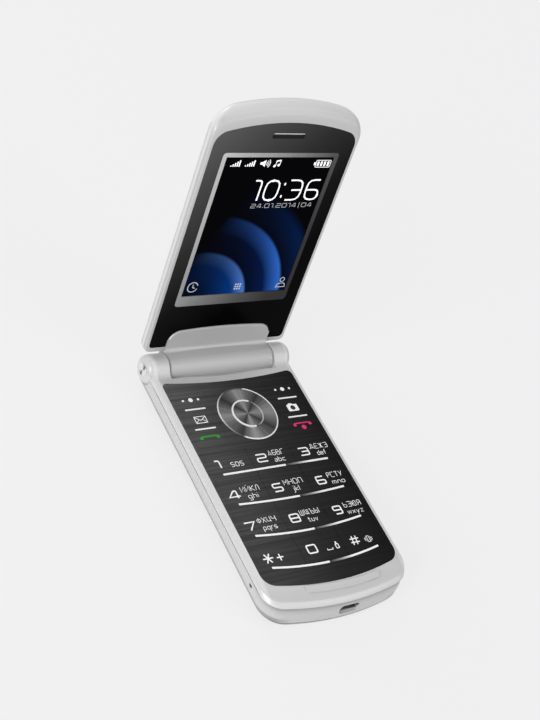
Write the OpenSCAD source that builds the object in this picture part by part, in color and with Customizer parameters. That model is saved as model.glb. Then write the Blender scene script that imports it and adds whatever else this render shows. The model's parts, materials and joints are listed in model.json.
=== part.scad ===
// Clamshell mobile phone lying on its back with the lid swung open.
// X runs to the right across the keypad, Y towards the hinge and Z up out of the keypad.
// The origin is the middle of the flat back face.

/* [Base] */
// Half of the width over the rear housing
base_half = 25.9; // [25.8:0.1:26.1]
// Height of the keypad surface above the back face
keypad_z = 10; // [9.8:0.1:10.4]
// Distance from the hinge axis to the bottom end
base_reach = 92.5; // [92.3:0.1:93]
// Height of the line between the front and rear housings
parting_z = 7.8; // [7.6:0.1:7.9]
// Height of the top edge of the battery cover on the sides
cover_z = 2.4; // [2.2:0.1:2.5]
// Thickness of the battery cover
cover_t = 1.1; // [0.9:0.1:1.1]

/* [Hinge] */
// Distance from the origin to the hinge axis along Y
hinge_y = 44; // [42:0.5:46]
// Depth of the hinge axis below the keypad surface
hinge_drop = 1.9; // [1.9:0.1:2.1]
// Outer radius of the barrel and of the knuckles
barrel_r = 4.75; // [4.6:0.05:4.8]
// Half of the length of the barrel
barrel_half = 19; // [18.8:0.1:19.1]
// How much fuller the barrel is in the middle of its length
barrel_bulge = 0.5; // [0.3:0.1:0.5]
// Radius of the hinge module and of the hinge pin
pin_r = 2.6; // [2.2:0.05:2.6]

/* [Lid] */
// Opening angle of the lid, where 0 is closed
lid_open = 100; // [0:1:155]
// Half of the width of the lid
lid_half = 26.1; // [26:0.1:26.2]
// Distance from the hinge axis to the far end of the lid
lid_reach = 91.3; // [91:0.1:91.6]
// Thickness of the lid
lid_t = 5.6; // [5.5:0.1:6]
// Gap between the display lens and the keypad when the lid is closed
closed_gap = 0.8; // [0.7:0.05:1]

/* [Keypad] */
// Half of the width of the keypad plate
plate_half = 24.2; // [24:0.05:24.3]
// Thickness of the keypad plate
plate_t = 0.9; // [0.8:0.1:1]
// Gap around each key
key_gap = 0.06; // [0.05:0.01:0.15]
// Outer radius of the navigation ring
nav_r = 9.7; // [9.4:0.1:9.7]
// Radius of the centre button
ok_r = 4.85; // [4.5:0.05:4.85]

/* [Hidden] */
$fn = 64;

white = "gainsboro";
dark = "dimgray";
black = "black";
silver = "silver";
far = 200;
whole = [-far, far];

// Heights of the stack under the keypad
hinge_z = keypad_z - hinge_drop;
plate_z = keypad_z - plate_t;
flange_t = 0.4;
flange_z = plate_z - 0.05 - flange_t;
mat_z = flange_z - 0.9;
mat_t = 0.5;
dome_t = 0.15;
board_z = mat_z - dome_t - 1;
board_t = 1;
deck_z = 5.15;
deck_t = 0.5;
bay_half = 23.3;
bay_y = [-85.6, -11];
parting_gap = 0.24;
lip_h = 0.45;
seam_gap = 0.22;
plate_end = -84.85;
bumper_x = 1.1;
bumper_h = 0.45;

// Front housing from the parting line up, over the edge of the lip and through the hollow chin to the rim
// around the keypad: height, share of the inset of the sides and share of the length of the chin
front_steps = [
  [parting_z + parting_gap / 2, 0, 0], [keypad_z - 1.75, 0.01, 0.02], [keypad_z - 1.2, 0.04, 0.1],
  [keypad_z - 0.8, 0.09, 0.19], [keypad_z - 0.67, 0.12, 0.235], [keypad_z - 0.63, 0.14, 0.34],
  [keypad_z - 0.52, 0.18, 0.56], [keypad_z - 0.3, 0.34, 0.8], [keypad_z, 1, 1]];

// Parts inside the base, each by its range along X and Y or by its middle
battery_x = [-18, 18];
battery_y = [-61.4, -13.6];
can_x = [-15, 15];
can_y = [-64, -40];
sim_x = [-13.8, 13.8];
sim_y = [-35.8, -22.2];
speaker_x = [-18.5, -1.5];
speaker_y = [-82, -70];
motor_at = [14, -74];
mic_at = [-20.5, -78.7];
mic_half = 1.9;
mic_z = 6.1;

// Lid planes, measured from the hinge axis with the lid closed
lid_front = hinge_drop + closed_gap;
tongue_z = hinge_drop + 0.3;
lens_t = 0.8;
lid_seam = 2.9;
lid_end_seam = 4.25;
lid_end_zone = 83.5;
lid_heel = 4.7;

// Hinge clearances
trough_gap = 0.35;
knuckle_in = barrel_half + 0.75;
knuckle_out = base_half + 0.7;
bore_r = pin_r + 0.05;
pin_end = knuckle_out - 1.4;
cap_r = 2.05;

// Rows of the keypad, each as the Y of its middle and its rise at the ends of the strip
row_half = 19.25;
rows = [[-34.3, 0], [-43.6, 0], [-55.2, 0.7], [-67, 1.3], [-78.6, 1.85]];
columns = [-22.9, -7.7, 7.7, 22.9];
web = 0.45;
side_rows = [-9.3, -18.75, -26.4, -33.8];
side_in = 11.4;
side_out = 22.9;
strip_w = 0.62;
short_w = 0.48;
strip_t = 0.12;
short_strip = [13.6, 20.8];
nav_y = -22.8;
dome_spots = concat(
  [for (i = [0:3]) for (x = [-15.3, 0, 15.3]) [x, (rows[i].x + rows[i + 1].x) / 2]],
  [for (i = [0:2]) for (s = [-1, 1]) [s * 17.15, (side_rows[i] + side_rows[i + 1]) / 2]],
  [for (a = [0:90:270]) [7.4 * cos(a), nav_y + 7.4 * sin(a)]], [[0, nav_y]]);

// Display and earpiece
bezel_half = 20.6;
bezel_y = [-75.76, -21.65];
window_half = 19.2;
window_y = [-74.3, -25.3];
earpiece_y = -81.3;
earpiece_half = 5.95;
earpiece_r = 0.9;
lcd_x = [-21.4, 21.4];
lcd_y = [-77, -20];
receiver_x = [-6, 6];
receiver_y = [-83, -79.6];

// Camera on the outer cover
camera_y = -74;
torch_x = 9.5;

// Charging slot in the bottom end
usb_x = 2.4;
usb_z = 4.8;
usb_half = 3.7;
usb_h = 2.6;
usb_y = [-91.2, -82.6];

// Shape helpers

// Points of an arc
function arc(c, r, a0, a1, n) =
  [for (i = [0:n]) let (a = a0 + (a1 - a0) * i / n) c + r * [cos(a), sin(a)]];

// Right half mirrored onto the left
function both_sides(right) = concat(right, [for (i = [len(right) - 1:-1:0]) [-right[i].x, right[i].y]]);

// Slab with straight sides, a bowed end at low Y and an end at high Y that may sag inwards
function slab(half, y_bow, bow_r, corner_r, y_top, top_r, sag = 0) =
  let (
    bow_c = [0, y_bow + bow_r],
    corner_c = [half - corner_r, bow_c.y - sqrt(pow(bow_r - corner_r, 2) - pow(half - corner_r, 2))],
    corner_a = atan2(corner_c.y - bow_c.y, corner_c.x),
    n = 7,
    flat = half - top_r
  )
  both_sides(concat(
    [for (i = [0:n - 1]) let (a = -90 + (corner_a + 90) * (i + 0.5) / n) bow_c + bow_r * [cos(a), sin(a)]],
    arc(corner_c, corner_r, corner_a, 0, 10),
    arc([half - top_r, y_top - top_r], top_r, 0, 90, 6),
    [for (i = [1:n]) let (k = 1 - i / (n + 0.5)) [flat * k, y_top - sag * (1 - k * k)]]));

function at_z(points, z) = [for (p = points) [p.x, p.y, z]];

// Solid through a stack of outlines with the same number of points
module loft(rings) {
  n = len(rings[0]);
  last = len(rings) - 1;
  sides = [for (i = [0:last - 1]) for (j = [0:n - 1])
    let (k = (j + 1) % n, a = i * n + j, b = i * n + k, c = b + n, d = a + n)
    each [[a, d, c], [a, c, b]]];
  bottom = [for (j = [0:n - 1]) j];
  top = [for (j = [n - 1:-1:0]) last * n + j];
  polyhedron(points = [for (ring = rings) each ring], faces = concat([bottom], sides, [top]), convexity = 4);
}

// How far an elliptic edge of the given width and height draws in at height z above its foot
function draw_in(z, width, height) = z >= height ? 0 : width * (1 - sqrt(1 - pow(1 - z / height, 2)));

// Heights that follow an elliptic edge evenly
function edge_steps(height, n) = [for (i = [0:n]) height * (1 - cos(90 * i / n))];

module on_base() translate([0, hinge_y, 0]) children();
module on_axis() translate([0, hinge_y, hinge_z]) children();
module on_lid() on_axis() rotate([-lid_open, 0, 0]) children();

// Extrusion across the phone of a profile drawn in Y and Z
module across(x0, x1) translate([x0, 0, 0]) rotate([90, 0, 90]) linear_extrude(x1 - x0) children();

// Box over a range along each axis
module block(x, y, z) translate([x[0], y[0], z[0]]) cube([x[1] - x[0], y[1] - y[0], z[1] - z[0]]);

function about(at, half) = [at - half, at + half];
function wider(range, by) = [range[0] - by, range[1] + by];
function middle(range) = (range[0] + range[1]) / 2;

module stadium(half, r) {
  square([2 * (half - r), 2 * r], center = true);
  for (s = [-1, 1]) translate([s * (half - r), 0]) circle(r);
}

// Base shells

// Outline of the rear housing and the battery cover at height z, with a cove under the lip at the bottom end
function rear_ring(z) =
  let (
    side = draw_in(z, 5, 5.6),
    cove = 0.1 * pow(max(0, z - 5), 2),
    end = draw_in(z, 2.4, 2.6) + max(0, z - 2.6) * 0.25 + cove,
    corner_r = 7 + (parting_z - z) * 0.22 - side * 0.4
  )
  at_z(slab(base_half - side, end - base_reach, 95, corner_r, barrel_r - draw_in(z, 2.5, 3), 3), z);

module rear_loft(top) {
  steps = concat(edge_steps(2.6, 4), [3.4, 4.3, 5.2, 6, 6.8]);
  loft([for (z = concat([for (z = steps) if (z < top) z], [top])) rear_ring(z)]);
}

module front_loft() {
  half = base_half;
  end = 1.3 - base_reach;
  rim_half = plate_half + 0.2;
  rim_end = plate_end - 0.45;
  loft([for (s = front_steps) at_z(slab(half - s[1] * (half - rim_half), end + s[2] * (rim_end - end),
    95 - 5 * s[2], 6.8 - 2 * s[2], 2.5, 3), s[0])]);
}

// Inner lip of the rear housing that locates the front housing and backs the groove between them
function lip_outline(grow) = slab(base_half - 1.1 + grow, 2.5 - base_reach - grow, 95, 5.4 + grow, -7, 1);

function plate_outline(grow) =
  slab(plate_half + grow, plate_end - grow, 90, 4.5 + grow, -7.8 + grow, 1.6 + grow, 1.5);

// Knuckle with a rounded outer end, drawn on the right
module knuckle() rotate([0, 90, 0]) rotate_extrude()
  polygon(concat([[0, knuckle_in], [barrel_r, knuckle_in]],
    [for (a = [0:10:90]) [barrel_r - 1.6 + 1.6 * cos(a), knuckle_out - 2.6 + 2.6 * sin(a)]],
    [[0, knuckle_out]]));

// Concave sweep from the frame up to the knuckle
module knuckle_sweep() {
  r = 4;
  c = [-sqrt(pow(barrel_r + r, 2) - pow(hinge_drop + r, 2)), hinge_drop + r];
  tangent_a = atan2(-c.y, -c.x);
  across(knuckle_in, plate_half + 0.35)
    polygon(concat([[c.x, 0]], arc(c, r, -90, tangent_a, 8), [[0, 0]]));
}

// Barrel that is fuller in the middle of its length, grown by the gap
module barrel(half, gap) rotate([0, 90, 0]) rotate_extrude() polygon(concat([[0, half], [0, -half]],
  [for (i = [-10:10]) [barrel_r + gap + barrel_bulge * (1 - pow(i / 10, 2)), half * i / 10]]));

// Space that the barrel and the neck of the lid need between the knuckles
module barrel_space() {
  barrel(knuckle_in, trough_gap);
  across(-knuckle_in, knuckle_in)
    polygon([[-6.2, hinge_drop], [-5, -1], [0, -3], [3.5, -3.9], [8, -5.7], [8, 8], [-6.2, 8]]);
}

// Sloping back edge of the lip in front of the barrel, curved like the top of the keypad
module lip_slope() {
  lip_r = 140;
  intersection() {
    translate([0, lip_r - 7, 0]) rotate_extrude($fn = 360)
      polygon([[lip_r - 4, -1], [lip_r - 1.8, -1], [lip_r, hinge_drop], [lip_r, 6], [lip_r - 4, 6]]);
    block([-knuckle_in, knuckle_in], [-8, 0], [-3, 8]);
  }
}

module front_housing() color(white) {
  on_base() difference() {
    front_loft();
    translate([0, 0, plate_z]) linear_extrude(5) polygon(plate_outline(0.06));
    linear_extrude(far) polygon(plate_outline(-0.5));
    linear_extrude(parting_z + lip_h + 0.1) polygon(lip_outline(0.1));
    translate([0, 0, hinge_z]) {
      barrel_space();
      lip_slope();
      for (s = [0, 1]) mirror([s, 0, 0]) across(knuckle_in, far) circle(barrel_r - 0.4);
    }
  }
  on_axis() for (s = [0, 1]) mirror([s, 0, 0]) difference() {
    union() {
      knuckle();
      difference() {
        knuckle_sweep();
        across(knuckle_in - 1, far) circle(barrel_r - 0.4);
      }
    }
    across(knuckle_in - 1, pin_end + 0.05) circle(bore_r);
    across(pin_end, far) circle(cap_r + 0.04);
  }
}

// Cross-section inside the battery cover
function cover_section(gap) =
  let (half = base_half - 1.2 - gap, z0 = cover_t + gap, edge = 4)
  both_sides(concat(
    [for (i = [0:8]) [half - draw_in(edge_steps(edge, 8)[i], 4.4, edge), z0 + edge_steps(edge, 8)[i]]],
    [[half, 20]]));

// Space inside the tray of the battery cover up to y1, shrunk by the gap to what fits in it
module cover_space(gap, y1) intersection() {
  translate([0, y1, 0]) rotate([90, 0, 0]) linear_extrude(far) polygon(cover_section(gap));
  linear_extrude(far) polygon(slab(base_half - 1.2 - gap, 1.7 + gap - base_reach, 95, 6 - gap, 100, 1));
}

module rear_housing() color(white) on_base() difference() {
  union() {
    difference() {
      union() {
        rear_loft(parting_z - parting_gap / 2);
        translate([0, 0, deck_z]) linear_extrude(parting_z + lip_h - deck_z) polygon(lip_outline(0));
      }
      difference() {
        block(whole, [-far, bay_y.y], [-1, cover_z + seam_gap]);
        cover_space(0.12, bay_y.x);
      }
      block([-bay_half, bay_half], [bay_y.x, bay_y.y - 1], [cover_z, deck_z]);
    }
    difference() {
      block(wider(battery_x, 1.2), wider(battery_y, 1.2), [cover_t + 0.2, deck_z + 0.1]);
      block(wider(battery_x, 0.2), wider(battery_y, 0.2), [0, deck_z]);
    }
  }
  translate([0, 0, deck_z + deck_t]) linear_extrude(5) polygon(slab(bay_half, -89.2, 95, 4.2, -8.4, 1.2));
  block(about(usb_x, usb_half + 0.3), [usb_y[0] + 2.6, usb_y[1] + 0.4],
    about(usb_z, usb_h / 2 + 0.2));
  block(wider(sim_x, 0.2), wider(sim_y, 0.2), [0, far]);
  translate([0, 0, hinge_z]) {
    barrel_space();
    for (s = [0, 1]) mirror([s, 0, 0]) {
      across(knuckle_in - 0.1, far) circle(barrel_r + 0.12);
      block([knuckle_in - 0.1, far], [-2, 9], [-3.2, 4]);
    }
  }
  translate([usb_x, usb_y[1], usb_z]) rotate([90, 0, 0])
    linear_extrude(far) stadium(usb_half + 0.1, usb_h / 2 + 0.1);
  mic_hole(0, 0.75, 0.45);
}

module battery_cover() color(white) on_base() difference() {
  rear_loft(cover_z);
  cover_space(0, 0);
  block(whole, [bay_y.y - 0.15, far], [-1, far]);
  for (i = [-1:1]) translate([middle(speaker_x) + i * 4, middle(speaker_y), -1])
    linear_extrude(far) rotate(90) stadium(3.5, 0.6);
}

// Keypad

function row_y(row, x) = row.x + row.y * pow(x / row_half, 2);

// Outline between two rows and two columns, drawn in by dx and dy
function cell(x0, x1, low, high, dx, dy, n = 6) =
  let (step = (x1 - x0 - 2 * dx) / n)
  concat(
    [for (i = [0:n]) let (x = x0 + dx + i * step) [x, row_y(low, x) + dy]],
    [for (i = [n:-1:0]) let (x = x0 + dx + i * step) [x, row_y(high, x) - dy]]);

// Key cap that fills a cell, with a flange under the webs and a plunger over its dome
module key(x0, x1, low, high) color(dark) on_base() {
  translate([0, 0, flange_z]) {
    linear_extrude(keypad_z - flange_z) polygon(cell(x0, x1, low, high, key_gap, web + key_gap));
    linear_extrude(flange_t) polygon(cell(x0, x1, low, high, key_gap, web - 0.2));
  }
  translate([(x0 + x1) / 2, (low.x + high.x) / 2, flange_z - 0.3]) cylinder(r = 1.1, h = 1);
}

module number_key(column, row) key(columns[column], columns[column + 1], rows[row + 1], rows[row]);

module side_key(side, row) {
  x = side * [side_in, side_out];
  key(min(x), max(x), [side_rows[row + 1], 0], [side_rows[row], 0]);
}

module keypad_plate() color(dark) on_base() translate([0, 0, plate_z]) linear_extrude(plate_t) difference() {
  polygon(plate_outline(0));
  for (i = [0:3]) polygon(cell(columns[0], columns[3], rows[i + 1], rows[i], 0, web, 18));
  for (i = [0:2]) for (s = [0, 1]) mirror([s, 0])
    polygon(cell(side_in, side_out, [side_rows[i + 1], 0], [side_rows[i], 0], 0, web));
  translate([0, nav_y]) circle(nav_r + 0.54);
}

module row_strips() color(silver) on_base() translate([0, 0, keypad_z]) linear_extrude(strip_t) {
  for (i = [1:4]) polygon(cell(-row_half, row_half, rows[i], rows[i], 0, -strip_w / 2, 18));
  for (i = [1:2]) for (s = [0, 1]) mirror([s, 0])
    translate([short_strip.x, side_rows[i] - short_w / 2]) square([short_strip.y - short_strip.x, short_w]);
}

module on_nav() on_base() translate([0, nav_y, 0]) children();

module nav_trim() color(silver) on_nav() rotate_extrude() polygon([
  [nav_r + 0.12, plate_z - 0.4], [nav_r + 1, plate_z - 0.4], [nav_r + 1, plate_z], [nav_r + 0.5, plate_z],
  [nav_r + 0.5, keypad_z + 0.1], [nav_r + 0.42, keypad_z + 0.2], [nav_r + 0.12, keypad_z + 0.2]]);

module nav_ring() color(silver) on_nav() rotate_extrude() polygon([
  [ok_r + 0.67, flange_z - 0.4], [nav_r + 0.4, flange_z - 0.4], [nav_r + 0.4, flange_z - 0.02],
  [nav_r, flange_z - 0.02], [nav_r, keypad_z + 0.15], [nav_r - 0.1, keypad_z + 0.2],
  [ok_r + 0.67, keypad_z + 0.02]]);

module ok_button() color(silver) on_nav()
  translate([0, 0, flange_z - 0.4]) cylinder(r = ok_r, h = keypad_z + 0.1 - flange_z + 0.4);

module ok_trim() color(silver) on_nav() difference() {
  translate([0, 0, plate_z]) cylinder(r = ok_r + 0.5, h = plate_t + 0.22);
  translate([0, 0, plate_z - 1]) cylinder(r = ok_r + 0.02, h = 5);
}

module keypad_mat() color("gray") on_base() translate([0, 0, mat_z]) linear_extrude(mat_t) difference() {
  polygon(plate_outline(-1.4));
  for (p = dome_spots) translate(p) circle(2.3);
  translate([0, nav_y]) circle(nav_r + 0.7);
}

module dome_sheet() color("khaki") on_base() translate([0, 0, mat_z - dome_t]) {
  linear_extrude(dome_t) polygon(plate_outline(-1.6));
  for (p = dome_spots) translate(p) cylinder(r1 = 2, r2 = 1.4, h = dome_t + 0.2);
}

// Raised strip that follows the hollow of the chin
module bumper_strip() color(white) on_base() difference() {
  intersection() {
    translate([0, 0, bumper_h]) front_loft();
    translate([bumper_x, 0, 0]) linear_extrude(far) difference() {
      polygon(slab(13.2, plate_end - 2.75, 90, 0.8, -80, 1));
      translate([0, 90 + plate_end - 0.75]) circle(90, $fn = 360);
    }
  }
  front_loft();
}

// Inside the base

module main_board() color("seagreen") on_base() translate([0, 0, board_z])
  linear_extrude(board_t) polygon(slab(22.2, -83.4, 90, 4, -10.4, 1));

module shield_can() color(silver) on_base() difference() {
  block(can_x, can_y, [deck_z + deck_t + 0.05, board_z]);
  block(wider(can_x, -0.3), wider(can_y, -0.3), [deck_z + deck_t + 0.3, far]);
}

// Holder for two cards side by side, open towards the shield
module sim_holder() color(silver) on_base() difference() {
  block(sim_x, sim_y, [deck_z, board_z]);
  for (x = [-13.2, 0.4]) block([x, x + 12.8], [-far, sim_y[1] - 0.8], [deck_z + 0.15, board_z - 0.3]);
}

module battery() color("darkgray") on_base() block(battery_x, battery_y, [cover_t + 0.1, deck_z - 0.05]);

module loudspeaker() color(black) on_base() difference() {
  block(speaker_x, speaker_y, [cover_t + 0.02, deck_z]);
  block(wider(speaker_x, -1), wider(speaker_y, -1), [0, cover_t + 0.6]);
}

module vibration_motor() color(silver) on_base() translate([motor_at.x, motor_at.y, deck_z - 2.7])
  cylinder(r = 4, h = 2.7);

// Hole of the microphone through the left wall
module mic_hole(x, half, r) translate([x, mic_at.y, mic_z]) rotate([0, -90, 0]) rotate(90)
  linear_extrude(far) stadium(half, r);

// Microphone with a dark seal that reaches into its hole
module microphone() color(black) on_base() {
  block(about(mic_at.x, mic_half), about(mic_at.y, mic_half), [deck_z + deck_t, board_z]);
  intersection() {
    mic_hole(mic_at.x, 0.72, 0.42);
    block([0.35 - base_half, 0], whole, [0, far]);
  }
}

// Charging socket with its contact tongue, hung under the edge of the board
module usb_socket() color(silver) on_base() {
  length = usb_y[1] - usb_y[0];
  translate([usb_x, usb_y[1], usb_z]) rotate([90, 0, 0]) {
    difference() {
      linear_extrude(length) stadium(usb_half, usb_h / 2);
      translate([0, 0, 3]) linear_extrude(far) stadium(usb_half - 0.3, usb_h / 2 - 0.3);
    }
    linear_extrude(length - 1) translate([-2, -0.1]) square([4, 0.7]);
  }
  block(about(usb_x, 2.5), [usb_y[1] - 0.6, usb_y[1]], [usb_z + usb_h / 2 - 0.1, board_z]);
}

// Hinge

module hinge_module() color(silver) on_axis() {
  across(-pin_end, -10) circle(pin_r);
  across(-10, -7) circle(1.9);
}

module hinge_pin() color(silver) on_axis() across(8, pin_end) circle(pin_r);

// Dished cap that closes the outer end of a knuckle
module hinge_cap() color(silver) on_axis() rotate([0, 90, 0]) rotate_extrude()
  polygon([[0, pin_end + 0.05], [cap_r, pin_end + 0.05], [cap_r, knuckle_out + 0.05],
    [cap_r - 0.15, knuckle_out + 0.2], [0, knuckle_out + 0.02]]);

module hinge_cap_right() hinge_cap();
module hinge_cap_left() mirror([1, 0, 0]) hinge_cap();

// Flex that carries the display signals, rolled inside the barrel
module hinge_flex() color("peru") on_lid() {
  turns = 1.6;
  roll = [for (i = [0:24]) let (a = 360 * turns * i / 24, r = 1.1 + 0.9 * i / 24) [r, a]];
  across(-5.5, 6.5) polygon(concat(
    [for (p = roll) p[0] * [cos(p[1]), sin(p[1])]],
    [for (i = [24:-1:0]) (roll[i][0] + 0.15) * [cos(roll[i][1]), sin(roll[i][1])]]));
}

// Lid shells, drawn closed over the base

// Outline of the lid at depth t behind the display surface
function lid_ring(t) =
  let (
    front = draw_in(t, 0.3, 0.35),
    back = draw_in(lid_t - t, 3.4, 3.6),
    end = draw_in(t, 5.5, lid_t - 1.6) + draw_in(lid_t - t, 2.6, 1.6),
    heel = draw_in(lid_t - t, 2, 2),
    half = lid_half - front - back,
    corner_r = 3.4 + 1.3 * t - back * 0.3
  )
  at_z(slab(half, end - lid_reach, 85, corner_r, -lid_heel - heel, 1.6), lid_front + t);

module lid_loft() loft([for (t = concat(edge_steps(0.35, 3), [0.8, 1.4, 2, 2.7, 3.4, 4],
  [for (z = [1.2, 0.8, 0.45, 0.2, 0]) lid_t - z])) lid_ring(t)]);

function lens_outline(grow) =
  slab(25 + grow, -85.65 - grow, 80, 5 + grow, -6.2 + grow, 1.3 + grow);
function tongue_outline(grow) = slab(barrel_half + grow, -12.9 - grow, 178, 4.5, -4.5, 0.5);

// Neck between the barrel and the lid, with a round valley between the barrel and the tongue
module neck() {
  r = 1.5;
  c = [-sqrt(pow(barrel_r + r, 2) - pow(tongue_z - r, 2)), tongue_z - r];
  barrel(barrel_half, 0);
  across(-barrel_half, barrel_half) polygon(concat([[-9, tongue_z]], arc(c, r, 90, atan2(-c.y, -c.x), 8),
    [[0, 0], [-0.8, 4.65], [-lid_heel - 0.4, lid_front + lid_seam], [-9, lid_front + lid_seam]]));
}

module lid_inner_housing() color(white) on_lid() difference() {
  union() {
    difference() {
      lid_loft();
      block(whole, [-lid_end_zone, far], [lid_front + lid_seam, far]);
      block(whole, whole, [lid_front + lid_end_seam, far]);
      translate([0, 0, -1]) linear_extrude(lid_front + lens_t + 1.05) polygon(lens_outline(0.06));
    }
    neck();
    loft([at_z(tongue_outline(-0.4), tongue_z), at_z(tongue_outline(-0.12), tongue_z + 0.12),
      at_z(tongue_outline(0), tongue_z + 0.4), at_z(tongue_outline(0), lid_front + lid_seam)]);
  }
  block(wider(lcd_x, 0.5), wider(lcd_y, 0.5), [0, far]);
  block(wider(receiver_x, 0.5), wider(receiver_y, 0.2), [0, lid_front + lid_seam + 0.2]);
  across(-far, far) circle(bore_r);
}

module lid_outer_cover() color(white) on_lid() difference() {
  lid_loft();
  block(whole, [-lid_end_zone + 0.12, far], [-far, lid_front + lid_seam + 0.12]);
  block(whole, [-far, -lid_end_zone + 0.12], [-far, lid_front + lid_end_seam + 0.12]);
  linear_extrude(lid_front + lid_t - 1.1) polygon(slab(22.6, -83.2, 85, 5, -8, 2));
  translate([0, camera_y, 0]) cylinder(r = 3.5, h = far);
  translate([torch_x, camera_y, 0]) cylinder(r = 1.6, h = far);
}

// Display and earpiece

// Outline of the display bezel, drawn in by the gap
module bezel_outline(gap) {
  r = 1.1;
  half = bezel_half - gap - r;
  polygon(concat(
    arc([half, bezel_y.x + gap + r], r, -90, 0, 6),
    arc([half, bezel_y.y - gap - r], r, 0, 90, 6),
    arc([-half, bezel_y.y - gap - r], r, 90, 180, 6),
    arc([-half, bezel_y.x + gap + r], r, 180, 270, 6)));
}

module display_lens() color(black) on_lid() translate([0, 0, lid_front]) linear_extrude(lens_t) difference() {
  polygon(lens_outline(0));
  polygon(tongue_outline(0.08));
  bezel_outline(0);
  translate([0, earpiece_y]) stadium(earpiece_half, earpiece_r);
}

module display_bezel() color("slategray") on_lid() translate([0, 0, lid_front - 0.05])
  linear_extrude(lens_t + 0.05) difference() {
    bezel_outline(0.04);
    translate([-window_half, window_y.x]) square([2 * window_half, window_y.y - window_y.x]);
  }

module display_window() color(black) on_lid() block([-window_half + 0.04, window_half - 0.04],
  wider(window_y, -0.04), [lid_front + 0.2, lid_front + lens_t]);

module lcd_panel() color("darkslategray") on_lid()
  block(lcd_x, lcd_y, [lid_front + lens_t + 0.1, lid_front + lid_seam]);

// Bottom of the earpiece slot, which slopes down from the edge away from the hinge
module earpiece_grille() color(silver) on_lid() translate([0, earpiece_y, lid_front]) intersection() {
  linear_extrude(lens_t) stadium(earpiece_half - 0.05, earpiece_r - 0.05);
  across(-far, far) polygon([[-earpiece_r, 0.12], [-0.35, 0.6], [earpiece_r, 0.62], [earpiece_r, lens_t],
    [-earpiece_r, lens_t]]);
}

module earpiece_speaker() color(silver) on_lid()
  block(receiver_x, receiver_y, [lid_front + lens_t + 0.1, lid_front + lid_seam]);

module lid_board() color("seagreen") on_lid()
  block([-20, 20], [-68, -14], [lid_front + lid_seam + 0.15, lid_front + lid_seam + 0.75]);

module lid_magnet() color(silver) on_lid()
  block([14, 19], [-78, -75], [lid_front + lid_seam + 0.05, lid_front + lid_seam + 1.2]);

module camera_module() color(black) on_lid() translate([0, camera_y, lid_front + lid_seam + 0.15]) {
  translate([-4, -4, 0]) cube([8, 8, 1]);
  cylinder(r = 2.6, h = 1.6);
}

module camera_ring() color(silver) on_lid() translate([0, camera_y, lid_front + lid_t]) rotate_extrude()
  polygon([[2.75, -1], [3.45, -1], [3.45, 0.02], [4.1, 0.02], [4, 0.3], [3.2, 0.35], [2.75, 0.1]]);

module camera_window() color(black) on_lid()
  translate([0, camera_y, lid_front + lid_t - 0.8]) cylinder(r = 2.7, h = 0.75);

module torch_lens() color("white") on_lid() translate([torch_x, camera_y, lid_front + lid_t - 1])
  cylinder(r = 1.55, h = 1.05);

front_housing();
rear_housing();
battery_cover();
keypad_plate();
row_strips();
nav_trim();
bumper_strip();
keypad_mat();
dome_sheet();
main_board();
shield_can();
sim_holder();
battery();
loudspeaker();
vibration_motor();
microphone();
usb_socket();
hinge_module();
hinge_pin();
hinge_cap_left();
hinge_cap_right();
number_key(0, 0);  // key_1
number_key(1, 0);  // key_2
number_key(2, 0);  // key_3
number_key(0, 1);  // key_4
number_key(1, 1);  // key_5
number_key(2, 1);  // key_6
number_key(0, 2);  // key_7
number_key(1, 2);  // key_8
number_key(2, 2);  // key_9
number_key(0, 3);  // key_star
number_key(1, 3);  // key_0
number_key(2, 3);  // key_hash
side_key(-1, 0);  // soft_key_left
side_key(1, 0);  // soft_key_right
side_key(-1, 1);  // message_key
side_key(1, 1);  // camera_key
side_key(-1, 2);  // call_key
side_key(1, 2);  // end_key
nav_ring();
ok_button();
ok_trim();
lid_inner_housing();
lid_outer_cover();
display_lens();
display_bezel();
display_window();
lcd_panel();
earpiece_grille();
earpiece_speaker();
lid_board();
lid_magnet();
camera_module();
camera_ring();
camera_window();
torch_lens();
hinge_flex();
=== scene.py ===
import json
import math

import bpy
from mathutils import Matrix, Vector


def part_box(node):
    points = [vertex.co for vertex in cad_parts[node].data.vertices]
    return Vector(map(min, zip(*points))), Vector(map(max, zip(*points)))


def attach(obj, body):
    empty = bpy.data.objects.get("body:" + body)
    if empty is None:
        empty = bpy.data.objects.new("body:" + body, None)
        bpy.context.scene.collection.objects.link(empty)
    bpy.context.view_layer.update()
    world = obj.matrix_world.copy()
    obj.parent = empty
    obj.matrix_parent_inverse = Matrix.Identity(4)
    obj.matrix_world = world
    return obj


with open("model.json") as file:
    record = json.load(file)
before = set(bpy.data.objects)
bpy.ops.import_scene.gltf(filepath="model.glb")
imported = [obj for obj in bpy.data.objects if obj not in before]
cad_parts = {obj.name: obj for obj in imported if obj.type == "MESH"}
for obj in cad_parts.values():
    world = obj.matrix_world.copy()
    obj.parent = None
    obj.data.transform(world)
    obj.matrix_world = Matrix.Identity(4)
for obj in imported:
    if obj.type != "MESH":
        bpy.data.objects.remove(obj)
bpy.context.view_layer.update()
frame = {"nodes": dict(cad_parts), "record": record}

# Units and the frame's own places, in metres; the lid's directions at rest are out from the hinge, and
# out of its inner face
MM = 0.001
hinge = next(j for j in frame["record"]["behaviour"]["joints"] if j["name"] == "lid_hinge")
HINGE_AT = Vector(hinge["pos_m"])
LID_OPEN = math.radians(hinge["range_deg"][1])
LID_OUT = Vector((0, -math.cos(LID_OPEN), math.sin(LID_OPEN)))
LID_FACE = Vector((0, -math.sin(LID_OPEN), -math.cos(LID_OPEN)))
KEYPAD_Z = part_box("key_5")[1].z
NAV_AT = (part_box("nav_ring")[0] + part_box("nav_ring")[1]) / 2
CAP_LEFT = (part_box("hinge_cap_left")[0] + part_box("hinge_cap_left")[1]) / 2
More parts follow.
